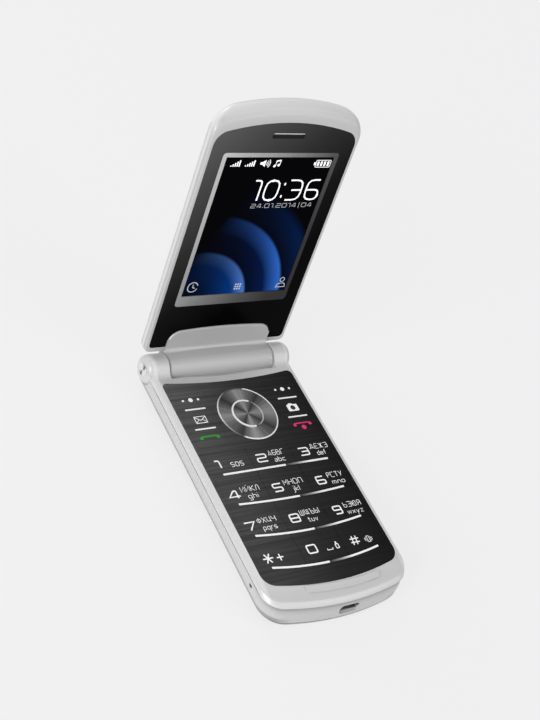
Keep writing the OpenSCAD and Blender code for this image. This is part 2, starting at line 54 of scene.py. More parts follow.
SCREEN_UP = max((v.co - HINGE_AT).dot(LID_FACE) for v in frame["nodes"]["display_window"].data.vertices)

# Ink: how far a print goes into its surface and stands proud of it, in millimetres, and how much each
# further shape of the same print stands above the last, so that no two faces lie in each other
INK_SUNK = 0.02
INK_PROUD = 0.02
INK_STEP = 0.001

# Camera, as the photograph was taken: its place in metres, turns in degrees and lens in millimetres
CAMERA_AT = Vector((-0.22984, -0.18049, 0.29365))
CAMERA_HEADING = 48.30
CAMERA_PITCH = 40.41
CAMERA_ROLL = -30.0
CAMERA_LENS = 67.29
CAMERA_NEAR = 0.01

# Signs drawn with strokes on a grid: two hexadecimal digits are a column and a row, and a slash starts
# a new stroke
SIGNS = {
    "0": "00 08 88 80 00", "1": "08 48 40", "2": "08 88 84 04 00 80", "3": "08 88 80 00/24 84",
    "4": "60 68 48 02 82", "5": "88 08 04 84 80 00", "6": "78 08 00 80 84 04", "7": "08 88 30",
    "8": "00 08 88 80 00/04 84", "9": "10 80 88 08 04 84", ":": "01 02/06 07", ".": "00 01",
    "А": "00 48 80/12 72", "Б": "78 08 00 70 74 04", "В": "04 64 68 08 00 80 84 64", "Г": "00 08 78",
    "Д": "00 02 82 80/22 38 68 62", "Е": "78 08 00 70/04 64", "Ж": "08 44 00/88 44 80/48 40",
    "З": "08 78 70 00/24 74", "И": "08 00 88 80", "Й": "08 00 88 80/3A 5A", "К": "08 00/88 04 80",
    "Л": "00 28 78 70", "М": "00 08 43 88 80", "Н": "08 00/88 80/04 84", "О": "00 08 88 80 00",
    "П": "00 08 88 80", "Р": "00 08 78 74 04", "С": "88 08 00 80", "Т": "08 88/48 40",
    "У": "08 43/88 20", "Ф": "02 06 86 82 02/48 40", "Х": "00 88/08 80", "Ц": "08 01 81 80/71 78",
    "Ч": "08 04 84/88 80", "Ш": "08 00 80 88/40 48", "Щ": "08 01 81 80/41 48/71 78",
    "Ъ": "08 28 20 80 84 24", "Ы": "08 00 50 54 04/88 80", "Ь": "08 00 70 74 04",
    "Э": "08 88 80 00/24 84", "Ю": "08 00/04 34/30 38 88 80 30", "Я": "80 88 18 14 84/44 00",
}
# Small letters stand on row 4, and their tails go below it
SMALL_FOOT = 4
SMALL = {
    "a": "1A 6A 64 04 07 67", "b": "0E 04 64 6A 0A", "c": "6A 0A 04 64", "d": "6E 64 04 0A 6A",
    "e": "07 67 6A 0A 04 64", "f": "5E 2E 24/0A 4A", "g": "64 04 0A 6A 60 00", "h": "0E 04/0A 6A 64",
    "i": "0A 04/0D 0E", "j": "3A 30 00/3D 3E", "k": "0E 04/6A 07 64", "l": "0E 04",
    "m": "04 0A 8A 84/4A 44", "n": "04 0A 6A 64", "o": "04 0A 6A 64 04", "p": "00 0A 6A 64 04",
    "q": "60 6A 0A 04 64", "r": "04 0A 4A", "s": "6A 0A 07 67 64 04", "t": "2D 24 54/0A 5A",
    "u": "0A 04 64 6A", "v": "0A 34 6A", "w": "0A 24 4A 64 8A", "x": "0A 64/04 6A", "y": "0A 34/6A 10",
    "z": "0A 6A 04 64",
}
# Columns between two signs
LETTER_GAP = 3.0
# Corners whose two sides stand closer than this, in degrees, aren't rounded
SHARP_CORNER = 75
# Stretches of the curve at a rounded corner
CURVE_STEPS = 3
# At a bend a line grows at most to its width divided by this
LEAST_ALONG = 0.6


# Placing

def on_base(x, y, h):
    """Point on the keypad in millimetres: x right, y from the hinge axis, h above the keys."""
    return Vector((x * MM, HINGE_AT.y + y * MM, KEYPAD_Z + h * MM))


def on_screen(x, y, h):
    """Point on the screen in millimetres: x right, y out from the hinge axis, h out of the glass."""
    return HINGE_AT + Vector((x * MM, 0, 0)) + LID_OUT * y * MM + LID_FACE * (SCREEN_UP + h * MM)


# Flat shapes: points in millimetres and the faces between them

def polygon(*points):
    return [Vector(p) for p in points], [tuple(range(len(points)))]


def circle(x, y, radius, first=0, last=360, steps=20):
    """Path along a circle, between two angles in degrees."""
    turns = [math.radians(first + (last - first) * i / steps) for i in range(steps + 1)]
    return [(x + radius * math.cos(a), y + radius * math.sin(a)) for a in turns]


def disc(x, y, radius):
    return polygon(*circle(x, y, radius)[:-1])


def corners(left, low, right, high):
    return [(left, low), (right, low), (right, high), (left, high)]


def bar(left, low, right, high):
    return polygon(*corners(left, low, right, high))


def rounded(path, radius, closed=False):
    """The path with a curve at each corner, apart from the sharp ones."""
    made = []
    for i, point in enumerate(path):
        here = Vector(point)
        back = Vector(path[i - 1]) - here
        ahead = Vector(path[(i + 1) % len(path)]) - here
        at_end = not closed and i in (0, len(path) - 1)
        if at_end or back.angle(ahead) < math.radians(SHARP_CORNER):
            made.append(here)
            continue
        reach = min(radius, back.length / 2, ahead.length / 2)
        first = here + back.normalized() * reach
        last = here + ahead.normalized() * reach
        for step in range(CURVE_STEPS + 1):
            t = step / CURVE_STEPS
            made.append(first * (1 - t) ** 2 + here * 2 * t * (1 - t) + last * t ** 2)
    return made


def stroke(path, width, closed=False):
    """A line of one width along a path, as a strip of four-sided faces."""
    path = [Vector(p) for p in path]
    count = len(path)
    points = []
    for i, here in enumerate(path):
        first = not closed and i == 0
        last = not closed and i == count - 1
        ahead = (path[(i + 1) % count] - here if not last else here - path[i - 1]).normalized()
        behind = (here - path[i - 1] if not first else ahead).normalized()
        along = (ahead + behind).normalized()
        across = Vector((-along.y, along.x)) * width / 2 / max(along.dot(ahead), LEAST_ALONG)
        points += [here + across, here - across]
    ends = [(2 * i, 2 * ((i + 1) % count)) for i in range(count if closed else count - 1)]
    return points, [(a, a + 1, b + 1, b) for a, b in ends]


def glyph(sign):
    """The strokes of one sign on its grid, with the line it stands on at row 0."""
    foot = SMALL_FOOT if sign in SMALL else 0
    drawn = SMALL.get(sign) or SIGNS[sign]
    return [[(int(p[0], 16), int(p[1], 16) - foot) for p in path.split()] for path in drawn.split("/")]


def lettering(text, left, right, foot, row, line, corner=1.6):
    """Signs from left to right, standing on foot, with the grid's rows and the line in millimetres."""
    paths = []
    cursor = 0
    for sign in text:
        strokes = glyph(sign)
        paths += [[(cursor + x, y) for x, y in path] for path in strokes]
        cursor += max(x for path in strokes for x, y in path) + LETTER_GAP
    column = (right - left - line) / (cursor - LETTER_GAP)
    made = []
    for path in paths:
        placed = [(left + line / 2 + x * column, foot + line / 2 + y * row) for x, y in path]
        closed = path[0] == path[-1]
        curve = rounded(placed[:-1] if closed else placed, corner * row, closed)
        made.append(stroke(curve, line, closed))
    return made


# Ink

def thick(flat, surface, top, first):
    """Points and faces of a flat as a closed plate on a surface, its points numbered from first."""
    points, faces = flat
    count = len(points)
    solid = [surface(p.x, p.y, h) for h in (-INK_SUNK, top) for p in points]
    edges = {edge for face in faces for edge in zip(face, face[1:] + face[:1])}
    walls = [(a, b, b + count, a + count) for a, b in sorted(edges) if (b, a) not in edges]
    tops = [tuple(i + count for i in face) for face in faces]
    bottoms = [tuple(reversed(face)) for face in faces]
    return solid, [tuple(i + first for i in face) for face in tops + bottoms + walls]


def ink(name, body, look, surface, *flats, layer=0):
    """A thin print of the flats' shapes on a surface, above a number of other prints, riding on a body."""
    points, faces = [], []
    for i, flat in enumerate(flats):
        more, shapes = thick(flat, surface, INK_PROUD + (layer + i) * INK_STEP, len(points))
        points += more
        faces += shapes
    mesh = bpy.data.meshes.new(name)
    mesh.from_pydata(points, [], faces)
    mesh.materials.append(look)
    piece = bpy.data.objects.new(name, mesh)
    bpy.context.scene.collection.objects.link(piece)
    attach(piece, body)


# Material nodes

WHITE = (1, 1, 1, 1)
ORIGIN = (0, 0, 0)
# Axes to measure a distance along: across the phone, and off the hinge axis
ACROSS = (1, 0, 0)
OFF_HINGE = (0, 1, 1)


def sockets_of(look):
    """The inputs of a material's shader."""
    return look.node_tree.nodes["Principled BSDF"].inputs


def new_material(name, roughness=0.4, metallic=0.0, specular=0.5, coat=0.0, coat_roughness=0.05):
    look = bpy.data.materials.new(name)
    look.use_nodes = True
    sockets = sockets_of(look)
    sockets["Roughness"].default_value = roughness
    sockets["Metallic"].default_value = metallic
    sockets["Specular IOR Level"].default_value = specular
    sockets["Coat Weight"].default_value = coat
    sockets["Coat Roughness"].default_value = coat_roughness
    return look


def add(look, kind, settings=None, **inputs):
    """A new node with its settings, its inputs linked from sockets or set to values."""
    node = look.node_tree.nodes.new(kind)
    for name, value in (settings or {}).items():
        setattr(node, name, value)
    for name, value in inputs.items():
        socket = node.inputs[int(name[1:])] if name[1:].isdigit() else node.inputs[name.replace("_", " ")]
        if isinstance(value, bpy.types.NodeSocket):
            look.node_tree.links.new(value, socket)
        else:
            socket.default_value = value
    return node


def own_point(look):
    """The point on the object."""
    return add(look, "ShaderNodeTexCoord").outputs["Object"]


def place(look, move=(0, 0, 0), turn=(0, 0, 0), scale=(1, 1, 1)):
    """The point on the object, scaled, turned and moved."""
    moved = add(look, "ShaderNodeMapping", Vector=own_point(look), Location=move, Rotation=turn, Scale=scale)
    return moved.outputs[0]


def vector_math(look, operation, *inputs):
    """What an operation on one or two vectors gives: a vector, or a number."""
    named = {f"_{i}": value for i, value in enumerate(inputs)}
    made = add(look, "ShaderNodeVectorMath", {"operation": operation}, **named).outputs
    return made["Value"] if operation in ("DOT_PRODUCT", "LENGTH") else made["Vector"]


def noise(look, point, scale, detail=3.0):
    return add(look, "ShaderNodeTexNoise", Vector=point, Scale=scale, Detail=detail).outputs["Fac"]


def line_noise(look, factor, scale, detail):
    """Noise along a single number."""
    made = add(look, "ShaderNodeTexNoise", {"noise_dimensions": "1D"}, W=factor, Scale=scale, Detail=detail)
    return made.outputs["Fac"]


def span(look, start, end):
    """How far along the way from start to end a point lies: 0 at the start and 1 at the end."""
    way = Vector(end) - Vector(start)
    step = vector_math(look, "SUBTRACT", own_point(look), tuple(start))
    return vector_math(look, "DOT_PRODUCT", step, tuple(way / way.length_squared))


def rise(look, low, high):
    """How high a point lies, from 0 to 1 between two heights in millimetres above the back face."""
    return span(look, (0, 0, low * MM), (0, 0, high * MM))


def distance(look, centre, reach, axes=(1, 1, 1)):
    """How far from a centre a point lies along the given axes, from 0 to 1 at the reach."""
    step = vector_math(look, "SUBTRACT", own_point(look), tuple(centre))
    length = vector_math(look, "LENGTH", vector_math(look, "MULTIPLY", step, axes))
    return add(look, "ShaderNodeMapRange", Value=length, From_Max=reach).outputs[0]


def aside(look, reach):
    """How far to either side of the phone's middle a point lies, from 0 to 1 at the reach in millimetres."""
    return distance(look, ORIGIN, reach * MM, ACROSS)


def angle(look, point):
    """The angle about the point's z axis, from 0 at -180 degrees to 1 at 180 degrees."""
    return add(look, "ShaderNodeTexGradient", {"gradient_type": "RADIAL"}, Vector=point).outputs["Fac"]


def ramp(look, factor, *stops):
    """Colours along a factor: each stop is a place and a grey level or a colour."""
    node = add(look, "ShaderNodeValToRGB", Fac=factor)
    elements = node.color_ramp.elements
    while len(elements) < len(stops):
        elements.new(1.0)
    for element, (at, color) in zip(elements, stops):
        element.position = at
        element.color = (*color, 1) if isinstance(color, tuple) else (color, color, color, 1)
    return node.outputs["Color"]


def mix(look, one, two, factor=1.0, blend="MULTIPLY"):
    node = add(look, "ShaderNodeMix", {"data_type": "RGBA", "blend_type": blend}, _0=factor, _6=one, _7=two)
    return node.outputs[2]


def stretch(look, factor, low, high):
    return add(look, "ShaderNodeMapRange", Value=factor, To_Min=low, To_Max=high).outputs[0]


def give(look, color, roughness, height=None, strength=0.1, depth=0.02 * MM):
    """Link sockets to the shader: its colour, its roughness and, from a height, its bump."""
    sockets = sockets_of(look)
    links = look.node_tree.links
    links.new(color, sockets["Base Color"])
    links.new(roughness, sockets["Roughness"])
    if height:
        bump = add(look, "ShaderNodeBump", Height=height, Strength=strength, Distance=depth)
        links.new(bump.outputs[0], sockets["Normal"])
    return look


def glow(look, color, strength):
    sockets = sockets_of(look)
    if isinstance(color, bpy.types.NodeSocket):
        look.node_tree.links.new(color, sockets["Emission Color"])
    else:
        sockets["Emission Color"].default_value = color
    sockets["Emission Strength"].default_value = strength
    return look


# Finishes

# Strength of the painted glow on thin bright lines, which stands in for the reflection of a bright room in
# polished edges
PAINTED_EDGE_GLOW = 0.2
# How far into a seam or a corner the painted shade reaches
SEAM_SHADE_REACH = 1.3 * MM
# Within this distance of the hinge axis the painted seam shade is paler, and the gaps get a painted glow of
# this strength
HINGE_REACH = 8 * MM
PAINTED_GAP_GLOW = 0.21
# Strength of the screen's backlight
SCREEN_GLOW = 0.8
# Scales of noise, in cells to a metre
FLECK = 9000
SPECK = 4000
GRAIN = 3000
CLOUD = 60
HAZE = 40


def grained(name, dark, light, rough, grain=GRAIN, stretched=(1, 1, 1), bump=0.1, **base):
    """A plain material with a fine grain in its colour, gloss and surface."""
    look = new_material(name, **base)
    speck = noise(look, place(look, scale=stretched), grain)
    color = ramp(look, speck, (0.25, dark), (0.75, light))
    return give(look, color, stretch(look, speck, *rough), speck, bump)


def satin_shell(name, dark, light, painted_shade=None):
    """Silver-white lacquer: a pearl fleck, a faint unevenness, a thin clear coat, and painted shade in seams
    and corners, paler near the hinge axis where the gaps get a painted glow.
    """
    look = new_material(name, metallic=0.12, coat=0.15, coat_roughness=0.2)
    fleck = noise(look, place(look), FLECK, 2.0)
    cloud = noise(look, place(look), CLOUD, 2.0)
    pearl = ramp(look, fleck, (0.3, dark), (0.7, light))
    color = mix(look, pearl, ramp(look, cloud, (0.2, 0.97), (0.8, 1.0)))
    # Painted shade: darker where ambient occlusion finds a seam or a corner close by
    seam_shade = add(look, "ShaderNodeAmbientOcclusion", {"samples": 8}, Distance=SEAM_SHADE_REACH).outputs["AO"]
    # Near the hinge the painted shade in the gaps is paler, and a painted glow lights them
    at_hinge = ramp(look, distance(look, HINGE_AT, HINGE_REACH, OFF_HINGE), (0.78, 1.0), (0.95, 0.0))
    deep = ramp(look, seam_shade, (0.1, 0.4), (0.75, 1.0))
    pale = ramp(look, seam_shade, (0.1, 0.75), (0.75, 1.0))
    color = mix(look, color, mix(look, deep, pale, at_hinge, "MIX"))
    glow(look, mix(look, ramp(look, seam_shade, (0.15, 1.0), (0.45, 0.0)), at_hinge), PAINTED_GAP_GLOW)
    if painted_shade:
        color = mix(look, color, painted_shade(look))
    return give(look, color, stretch(look, fleck, 0.36, 0.46), fleck, 0.04, 0.01 * MM)


def painted_shoulder_shade(look):
    """Painted shade: the top face a little greyer than the shoulder around it, and the shoulder's outer edge
    darker, to even the shoulder's light across its width.
    """
    level = ramp(look, rise(look, 6, 10), (0.68, 1.0), (0.85, 0.88))
    even = ramp(look, aside(look, 27), (0.885, 0.85), (0.9, 1.0), (0.93, 1.0), (0.955, 0.78))
    return mix(look, level, even)


def painted_cover_shade(look):
    """Painted shade on the battery cover, which turns under: darker towards the top of its wall."""
    return ramp(look, rise(look, 0, 2.4), (0.0, 0.75), (1.0, 0.62))


def painted_cove_shade(look):
    """Painted shade: a shadow in the cove under the lip, at the end away from the hinge, and shade on the
    low sides that turn under.
    """
    under = ramp(look, rise(look, 5, 8), (0.05, 1.0), (0.45, 0.88), (0.78, 0.55))
    at_end = ramp(look, span(look, on_base(0, -79, 0), on_base(0, -88, 0)), (0, 0.0), (1, 1.0))
    low = ramp(look, rise(look, 2, 5), (0.1, 0.5), (0.55, 0.6), (0.8, 1.0))
    at_side = ramp(look, aside(look, 26), (0.65, 0.0), (0.85, 1.0))
    end = mix(look, WHITE, under, at_end, "MIX")
    return mix(look, end, mix(look, WHITE, low, at_side, "MIX"))


def painted_lid_shade(look):
    """Painted shade: greyer on the barrel and the tongue about the middle of the hinge, and on the lid's
    sides and top, shaded by how far they lie from its face.
    """
    hinge_shade = ramp(look, distance(look, HINGE_AT, 30 * MM), (0.68, 0.825), (0.8, 1.0))
    depth = span(look, on_screen(0, 0, 0.3), on_screen(0, 0, -4.5))
    side = ramp(look, depth, (0, 0.78), (0.1, 0.65), (0.24, 0.58), (0.38, 0.88), (1, 0.88))
    top = ramp(look, depth, (0, 0.75), (0.22, 0.73), (0.42, 0.88), (0.65, 0.96), (1, 0.96))
    at_top = ramp(look, span(look, on_screen(0, 76, 0), on_screen(0, 84, 0)), (0, 0.0), (1, 1.0))
    return mix(look, hinge_shade, mix(look, side, top, at_top, "MIX"))


def brushed_keypad():
    """Dark metal film brushed across the phone, with a painted sheen that makes it brighter towards its
    hinge and left edge.
    """
    look = new_material("keypad", specular=0.06)
    fine = noise(look, place(look, scale=(30, 2400, 2400)), 1.0, 4.0)
    broad = noise(look, place(look, scale=(12, 700, 700)), 1.0, 3.0)
    fine_lines, broad_lines = (ramp(look, line, (0.35, 0.68), (0.65, 1.0)) for line in (fine, broad))
    # Painted sheen, in place of a reflection: brighter towards the left edge and towards the hinge
    across = ramp(look, span(look, on_base(-20, -40, 0), on_base(23, -40, 0)),
                  (0, 0.165), (0.08, 0.155), (0.5, 0.062), (1, 0.016))
    along = ramp(look, span(look, on_base(0, -11, 0), on_base(0, -82, 0)), (0, 0.92), (1, 0.48))
    color = mix(look, mix(look, fine_lines, broad_lines), mix(look, across, along))
    return give(look, color, stretch(look, fine, 0.34, 0.5), fine, 0.12)


def black_lens():
    """Black printed acrylic with a hard gloss, and a painted reflection that makes it greyer at its upper
    left.
    """
    look = new_material("lens", specular=0.02)
    haze = noise(look, place(look), HAZE)
    painted_sheen = ramp(look, span(look, on_screen(-24, 88, 0), on_screen(23.4, 44.9, 0)),
                 (0, 0.133), (0.25, 0.073), (0.5, 0.032), (0.75, 0.0085), (1, 0.001))
    return give(look, painted_sheen, stretch(look, haze, 0.16, 0.22))


def silver_frame():
    """Satin metal frame of the screen, with a painted highlight that makes its left bright, darker to the
    right.
    """
    look = new_material("bezel", metallic=0.1, specular=0.2)
    line = noise(look, place(look, scale=(3000, 60, 60)), 1.0, 3.0)
    painted_sheen = ramp(look, span(look, on_screen(-20, 75, 0), on_screen(30.5, 58.3, 0)),
                 (0, 0.70), (0.25, 0.46), (0.46, 0.26), (0.68, 0.10), (0.88, 0.025), (1, 0.018))
    grain = ramp(look, line, (0.3, 0.88), (0.7, 1.0))
    return give(look, mix(look, painted_sheen, grain), stretch(look, line, 0.3, 0.42))


def painted_row_reflection():
    """Chrome lines under the number rows with a painted reflection: light at the left, a dark break, and
    light at the right, and a painted glow.
    """
    look = new_material("row_lines", specular=0.3)
    at_break = Vector((2.1, -55.3))
    slope = Vector((1.0, -0.092)) * 20
    way = span(look, on_base(*(at_break - slope), 0), on_base(*(at_break + slope), 0))
    grain = noise(look, place(look, scale=(20, 4000, 20)), 1.0)
    color = ramp(look, way, (0.0, 0.95), (0.5, 0.95), (0.503, 0.03), (0.515, 0.03), (0.60, 0.24),
                 (0.72, 0.95))
    return glow(give(look, color, stretch(look, grain, 0.2, 0.3)), color, PAINTED_EDGE_GLOW)


def turned_ring(name, centre, *stops):
    """Thin chrome ring about the navigation key, with painted reflections, light and dark by turns, and a
    painted glow.
    """
    look = new_material(name, specular=0.3)
    grain = noise(look, place(look), GRAIN)
    color = ramp(look, angle(look, place(look, move=-centre)), *stops)
    return glow(give(look, color, stretch(look, grain, 0.2, 0.3)), color, PAINTED_EDGE_GLOW)


def spun_disc(name, centre, turn, lobes, dark, light):
    """Metal turned on a lathe: painted fans of highlight about its centre, and fine rays and fine rings."""
    look = new_material(name, metallic=0.25, specular=0.4)
    across = Matrix.Rotation(turn[1], 3, "Y") @ centre
    point = place(look, move=-across, turn=turn)
    radius = vector_math(look, "LENGTH", vector_math(look, "MULTIPLY", point, (1, 1, 0)))
    turned = angle(look, point)
    ring = line_noise(look, radius, 5000.0, 2.0)
    ray = line_noise(look, turned, 45.0, 3.0)
    painted_fan = ramp(look, turned, *[(at, dark + (light - dark) * lit) for at, lit in lobes])
    painted_fan = mix(look, painted_fan, ramp(look, ray, (0.3, 0.72), (0.7, 1.0)))
    color = mix(look, painted_fan, ramp(look, ring, (0.3, 0.8), (0.7, 1.0)))
    return give(look, color, stretch(look, ring, 0.28, 0.4), ring, 0.08, 0.01 * MM)


def slot_grille():
    """Dark cloth of the earpiece, with a painted highlight and painted glow on the sloping edge above it."""
    look = new_material("grille", specular=0.2)
    weave = noise(look, place(look), FLECK, 2.0)
    # Painted highlight: the sloping edge above the cloth is painted bright
    shade = ramp(look, span(look, on_screen(0, 81.3, 0), on_screen(0, 82.3, 0)), (0.20, 0.012), (0.32, 0.9))
    color = mix(look, shade, ramp(look, weave, (0.3, 0.7), (0.7, 1.0)))
    return glow(give(look, color, stretch(look, weave, 0.4, 0.6)), color, PAINTED_EDGE_GLOW)


def lit_screen():
    """Glass over a lit picture: soft blue rings of light that spread from the lower left."""
    look = new_material("screen", roughness=0.12, specular=0.004)
    sockets_of(look)["Base Color"].default_value = (0.002, 0.002, 0.003, 1)
    rings = ramp(look, distance(look, on_screen(-16, 21, 0), 48 * MM),
                 (0.10, (0.0, 0.01, 0.06)), (0.32, (0.0, 0.06, 0.34)), (0.41, (0.09, 0.25, 0.80)),
                 (0.43, (0.0, 0.003, 0.02)), (0.56, (0.0, 0.01, 0.07)), (0.68, (0.03, 0.15, 0.62)),
                 (0.70, (0.0, 0.002, 0.01)), (0.86, (0.0, 0.012, 0.07)), (0.92, 0.0))
    fade = ramp(look, span(look, on_screen(-17, 44, 0), on_screen(9, 30, 0)),
                (0.0, 0.0), (0.4, 0.3), (1.0, 1.0))
    return glow(look, mix(look, rings, fade), SCREEN_GLOW)


def print_ink(name, color, light=0.0):
    """Printed ink, with a fine unevenness, or a lit sign of the screen."""
    look = new_material(name, roughness=0.5, specular=0.3)
    speck = noise(look, place(look), SPECK)
    shade = ramp(look, speck, (0.2, tuple(0.92 * c for c in color)), (0.8, color))
    give(look, shade, stretch(look, speck, 0.45, 0.55))
    return glow(look, (*color, 1), light) if light else look


# Dressing the solids

# Edges that bend more than this, in degrees, stay crisp
CRISP_EDGE = 28
KEYS = [n for n in frame["nodes"] if n.startswith(("key_", "soft_key")) or n.endswith("_key")]
# Painted highlights on turned metal, in fans: places around the middle, and how bright each is from 0 to 1
FOUR_FANS = ((0.0, 0.8), (0.06, 0.4), (0.145, 0), (0.175, 0.35), (0.225, 1), (0.28, 0.4), (0.372, 0),
             (0.44, 0.4), (0.5, 0.8), (0.56, 0.4), (0.625, 0), (0.69, 0.35), (0.75, 1), (0.81, 0.35),
             (0.875, 0), (0.94, 0.4), (1.0, 0.8))
TWO_FANS = ((0.0, 0), (0.12, 1), (0.33, 1), (0.45, 0), (0.6, 1), (0.85, 1), (1.0, 0))
# Painted reflections on the chrome rings of the navigation key: places around the middle and grey levels
OUTER_RING = ((0.0, 0.75), (0.05, 0.35), (0.152, 0.04), (0.168, 0.85), (0.5, 0.85), (0.705, 0.85),
              (0.71, 0.10), (0.82, 0.10), (0.93, 0.70), (1.0, 0.75))
INNER_RING = ((0.0, 0.85), (0.268, 0.85), (0.272, 0.05), (0.34, 0.30), (0.5, 0.50), (0.60, 0.25),
              (0.668, 0.05), (0.672, 0.85), (1.0, 0.85))
FACING_UP = (0, 0, 0)
FACING_ASIDE = (0, math.radians(90), 0)


def dress(look, *nodes):
    for name in nodes:
        mesh = frame["nodes"][name].data
        mesh.materials.clear()
        mesh.materials.append(look)
        mesh.shade_smooth()
        mesh.set_sharp_from_angle(angle=math.radians(CRISP_EDGE))


def dress_outside():
    # One lacquer in all, with painted light: painted lighter on the front housing and the lid's inner
    # housing, a little darker on the rear housing, and painted shade by place
    dress(satin_shell("shell", 0.63, 0.70), "lid_outer_cover")
    dress(satin_shell("shell_cover", 0.63, 0.70, painted_cover_shade), "battery_cover")
    dress(satin_shell("shell_rear", 0.61, 0.68, painted_cove_shade), "rear_housing")
    dress(satin_shell("shell_front", 0.86, 0.94, painted_shoulder_shade), "front_housing", "bumper_strip")
    dress(satin_shell("shell_lid", 0.80, 0.87, painted_lid_shade), "lid_inner_housing")
    dress(brushed_keypad(), "keypad_plate", *KEYS)
    dress(black_lens(), "display_lens", "camera_window")
    dress(silver_frame(), "display_bezel")
    dress(lit_screen(), "display_window")
    dress(painted_row_reflection(), "row_strips")
    dress(turned_ring("nav_line", NAV_AT, *OUTER_RING), "nav_trim")
    dress(turned_ring("ok_line", NAV_AT, *INNER_RING), "ok_trim")
    dress(spun_disc("spun_nav", NAV_AT, FACING_UP, FOUR_FANS, 0.022, 0.48), "nav_ring", "ok_button")
    dress(spun_disc("spun_cap", CAP_LEFT, FACING_ASIDE, TWO_FANS, 0.12, 1.0),
          "hinge_cap_left", "hinge_cap_right")
    dress(grained("steel_ring", 0.5, 0.6, (0.2, 0.3), metallic=1.0), "camera_ring")
    dress(grained("torch", 0.75, 0.85, (0.1, 0.2), 400, coat=0.5), "torch_lens")
    dress(slot_grille(), "earpiece_grille")
    dress(grained("socket_steel", 0.35, 0.5, (0.25, 0.4), metallic=1.0), "usb_socket")


def dress_inside():
    steel = grained("steel", 0.5, 0.62, (0.22, 0.36), 60, (1, 40, 40), metallic=1.0)
    dress(steel, "shield_can", "sim_holder", "hinge_module", "hinge_pin", "vibration_motor", "lid_magnet")
    board = grained("board", (0.005, 0.05, 0.02), (0.01, 0.09, 0.035), (0.35, 0.5), 900)
    dress(board, "main_board", "lid_board")
    film = grained("film", (0.45, 0.30, 0.08), (0.55, 0.38, 0.12), (0.25, 0.35), 300)
    dress(film, "hinge_flex", "dome_sheet")
    dress(grained("mat", 0.5, 0.58, (0.5, 0.65), 2500), "keypad_mat")
    black = grained("inner_black", 0.012, 0.022, (0.45, 0.6), SPECK)
    dress(black, "loudspeaker", "earpiece_speaker", "microphone", "camera_module")
    dress(grained("cell", 0.02, 0.03, (0.35, 0.45), 1500), "battery")
    dress(grained("panel", 0.35, 0.42, (0.3, 0.4), 80, (1, 30, 30), metallic=0.8), "lcd_panel")


# Legends of the keys, in millimetres

# Feet of the four rows of numbers
ROW_FEET = (-41.4, -52.6, -63.9, -75.0)
# Heights of a grid row and widths of a line
DIGIT_ROW = 0.335
DIGIT_LINE = 0.46
CAPITAL_ROW = 0.225
SMALL_ROW = 0.17
LETTER_LINE = 0.165
# Small letters with no capitals above them are larger
LONE_ROW = SMALL_ROW * 1.5
LONE_LINE = LETTER_LINE * 1.15
# Capitals above the foot of the digit, and small letters below it
CAPITAL_RISE = 1.9
SMALL_DROP = 0.55
# Each number key: its digit's left and right, its row, and its letter groups with their left and right
NUMBERS = (
    ("1", -20.3, -18.4, 0, "", 0, 0, "sos", -15.1, -10.6),
    ("2", -5.55, -1.65, 0, "АБВГ", -0.8, 5.1, "abc", 0.4, 4.4),
    ("3", 10.35, 14.1, 0, "ДЕЖЗ", 15.0, 21.8, "def", 16.6, 20.0),
    ("4", -21.2, -17.0, 1, "ИЙКЛ", -16.4, -9.9, "ghi", -14.9, -11.4),
    ("5", -5.4, -1.9, 1, "МНОП", -1.0, 6.0, "jkl", 1.1, 3.7),
    ("6", 10.7, 14.2, 1, "РСТУ", 15.4, 21.3, "mno", 16.0, 20.9),
    ("7", -21.1, -17.2, 2, "ФХЦЧ", -16.4, -9.8, "pqrs", -15.5, -10.6),
    ("8", -5.3, -1.7, 2, "ШЩЪЫ", -1.1, 5.9, "tuv", 0.6, 4.2),
    ("9", 10.7, 14.0, 2, "ЬЭЮЯ", 15.2, 21.8, "wxyz", 15.4, 21.4),
)
# Middles of the signs on the bottom row, and the length of the star's arms
STAR_AT = Vector((-19.0, -73.6))
STAR_ARM = 1.7
SILENT_AT = (17.3, -73.9)
# Middles of the signs on the keys beside the navigation ring, and the length of the handsets
SIDE_X = 17.2
DOTS_Y = -15.1
SIGN_Y = -22.85
CAMERA_SIGN_X = 17.25
CALL_Y = -29.6
END_AT = (17.3, -29.45)
HANDSET_LENGTH = 7.2


def number_legends(white):
    for digit, left, right, row, capitals, first, last, small, begin, end in NUMBERS:
        foot = ROW_FEET[row]
        flats = lettering(digit, left, right, foot, DIGIT_ROW, DIGIT_LINE)
        if capitals:
            flats += lettering(capitals, first, last, foot + CAPITAL_RISE, CAPITAL_ROW, LETTER_LINE)
            flats += lettering(small, begin, end, foot - SMALL_DROP, SMALL_ROW, LETTER_LINE)
        else:
            flats += lettering(small, begin, end, foot, LONE_ROW, LONE_LINE)
        ink("legend_" + digit, "key_" + digit, white, on_base, *flats)


def star_legend(white):
    """A star of three crossing lines, and a plus."""
    turns = [math.radians(a) for a in (0, 60, 120)]
    arms = [Vector((STAR_ARM * math.cos(a), STAR_ARM * math.sin(a))) for a in turns]
    star = [stroke([STAR_AT + arm, STAR_AT - arm], 0.42) for arm in arms]
    plus = [bar(-16.15, -74.1, -13.9, -73.7), bar(-15.22, -75.0, -14.82, -72.8)]
    ink("legend_star", "key_star", white, on_base, *star, *plus)


def zero_legend(white):
    """Zero, the sign for a space, and a lamp."""
    zero = lettering("0", -5.25, -1.65, ROW_FEET[3], DIGIT_ROW, DIGIT_LINE)
    space = stroke([(1.65, -74.3), (1.65, -74.85), (3.55, -74.85), (3.55, -74.3)], 0.24)
    case = rounded(corners(4.95, -74.8, 5.95, -73.4), 0.2, True)
    lamp = [stroke(case, 0.3, closed=True), bar(5.2, -73.35, 5.7, -72.55)]
    ink("legend_0", "key_0", white, on_base, *zero, space, *lamp)


